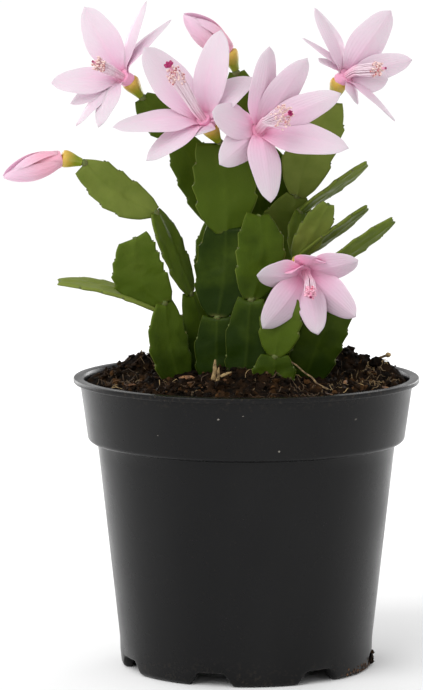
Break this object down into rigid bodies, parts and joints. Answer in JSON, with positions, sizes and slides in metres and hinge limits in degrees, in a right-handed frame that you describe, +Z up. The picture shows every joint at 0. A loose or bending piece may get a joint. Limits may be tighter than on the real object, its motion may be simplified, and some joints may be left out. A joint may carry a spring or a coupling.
{
  "type": "potted christmas cactus",
  "caption": "Flowering Christmas cactus: flat toothed stem segments and layered pale pink blooms with stamens, rooted in peat in a round plastic nursery pot.",
  "frame": {"origin": "the middle of the pot's foot pad, on the surface the pot stands on", "axes": "+Z up out of the pot, -Y the front of the plant, +X to its right seen from the front"},
  "size_m": [0.144, 0.12, 0.231],
  "materials": {
    "pot_plastic": "dark grey satin plastic",
    "peat": "damp crumbly bark and peat",
    "leaf_green": "fleshy satin leaf",
    "petal_pink": "soft translucent petal",
    "ovary_green": "smooth yellow-green",
    "stamen_cream": "fine cream filaments with small anthers",
    "pistil_magenta": "magenta style and stigma"
  },
  "bodies": {
    "root": {"bloom_centre_left_ovary": "ovary_green", "bloom_centre_left_petals": "petal_pink", "bloom_centre_left_pistil": "pistil_magenta", "bloom_centre_left_stamens": "stamen_cream", "bloom_front_ovary": "ovary_green", "bloom_front_petals": "petal_pink", "bloom_front_pistil": "pistil_magenta", "bloom_front_stamens": "stamen_cream", "bloom_lower_right_ovary": "ovary_green", "bloom_lower_right_petals": "petal_pink", "bloom_lower_right_pistil": "pistil_magenta", "bloom_lower_right_stamens": "stamen_cream", "bloom_upper_left_ovary": "ovary_green", "bloom_upper_left_petals": "petal_pink", "bloom_upper_left_pistil": "pistil_magenta", "bloom_upper_left_stamens": "stamen_cream", "bloom_upper_right_ovary": "ovary_green", "bloom_upper_right_petals": "petal_pink", "bloom_upper_right_pistil": "pistil_magenta", "bloom_upper_right_stamens": "stamen_cream", "bud_left_ovary": "ovary_green", "bud_left_petals": "petal_pink", "bud_top_ovary": "ovary_green", "bud_top_petals": "petal_pink", "pot": "pot_plastic", "soil": "peat", "stem_back_a": "leaf_green", "stem_back_b": "leaf_green", "stem_back_c": "leaf_green", "stem_back_centre": "leaf_green", "stem_back_d": "leaf_green", "stem_back_left": "leaf_green", "stem_centre": "leaf_green", "stem_front": "leaf_green", "stem_left_arch": "leaf_green", "stem_left_low": "leaf_green", "stem_right": "leaf_green", "stem_right_low": "leaf_green", "stem_right_spray": "leaf_green", "stem_tall_centre": "leaf_green"}
  },
  "joints": []
}
